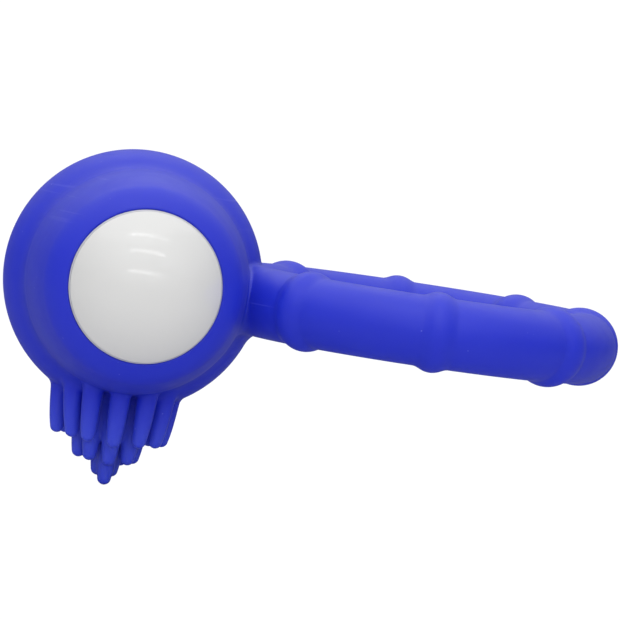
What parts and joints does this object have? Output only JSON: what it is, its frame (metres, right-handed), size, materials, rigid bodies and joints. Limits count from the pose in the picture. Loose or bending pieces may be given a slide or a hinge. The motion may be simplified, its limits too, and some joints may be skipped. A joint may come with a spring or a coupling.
{
  "type": "finger toothbrush",
  "caption": "Silicone pet brush worn on a finger ring, with tapered bristles under a round head that holds a vibrating capsule.",
  "frame": {"origin": "centre of the finger ring, on the ring's axis and mid-plane", "axes": "+Z along the finger ring's axis, away from the bristle tips; +X from the head through the ring's centre to its far side; -Y towards the closed dome of the capsule"},
  "size_m": [0.069, 0.0474, 0.0371],
  "materials": {
    "silicone": "satin, slightly translucent",
    "white_shell": "polished white plastic",
    "button_grey": "smooth pale grey",
    "motor_steel": "drawn steel",
    "magnet_dark": "dark sintered magnet",
    "inner_plastic": "moulded off-white plastic",
    "shaft_steel": "ground steel",
    "copper": "enamelled copper wire",
    "weight_metal": "dull heavy metal",
    "board_green": "green circuit board",
    "contact_metal": "nickel-plated spring strip",
    "cell_steel": "nickel-plated cell can",
    "seal_rubber": "black seal rubber",
    "switch_black": "black moulded plastic"
  },
  "bodies": {
    "silicone": {"head_sleeve": "silicone", "finger_ring": "silicone", "bristles_core": "silicone", "bristles_mid": "silicone", "bristles_rim": "silicone"},
    "capsule": {"capsule_shell": "white_shell", "motor_can": "motor_steel", "motor_magnet": "magnet_dark", "motor_end_cap": "inner_plastic", "motor_cradle": "inner_plastic", "circuit_disc": "board_green", "spring_contact": "contact_metal", "battery_cage": "inner_plastic", "cell_front": "cell_steel", "cell_middle": "cell_steel", "cell_rear": "cell_steel"},
    "rotor": {"motor_shaft": "shaft_steel", "motor_winding": "copper", "eccentric_weight": "weight_metal"},
    "seal": {"cap_o_ring": "seal_rubber"},
    "cap": {"battery_cap": "white_shell", "positive_contact": "contact_metal", "switch_board": "board_green", "switch_body": "switch_black"},
    "push_button": {"button": "button_grey", "switch_plunger": "switch_black"}
  },
  "joints": [
    {"name": "capsule_slide", "type": "slide", "parent": "silicone", "child": "capsule", "axis": [0, -1, 0], "range_m": [0, 0.041]},
    {"name": "motor_spin", "type": "hinge", "parent": "capsule", "child": "rotor", "pos_m": [-0.03163, 0, 0.00026], "axis": [0, -1, 0], "continuous": true},
    {"name": "cap_lift", "type": "slide", "parent": "capsule", "child": "seal", "axis": [0, 1, 0], "range_m": [0, 0.004]},
    {"name": "cap_turn", "type": "hinge", "parent": "seal", "child": "cap", "pos_m": [-0.03163, 0.0171, 0.00026], "axis": [0, 1, 0], "range_deg": [0, 1441]},
    {"name": "button_press", "type": "slide", "parent": "cap", "child": "push_button", "axis": [0, -1, 0], "range_m": [0, 0.0006], "stiffness_N_per_m": 3000, "springref_m": -0.0002}
  ],
  "couplings": [
    {"joint": "cap_turn", "follows": "cap_lift", "rad_per_m": 6283.2}
  ]
}
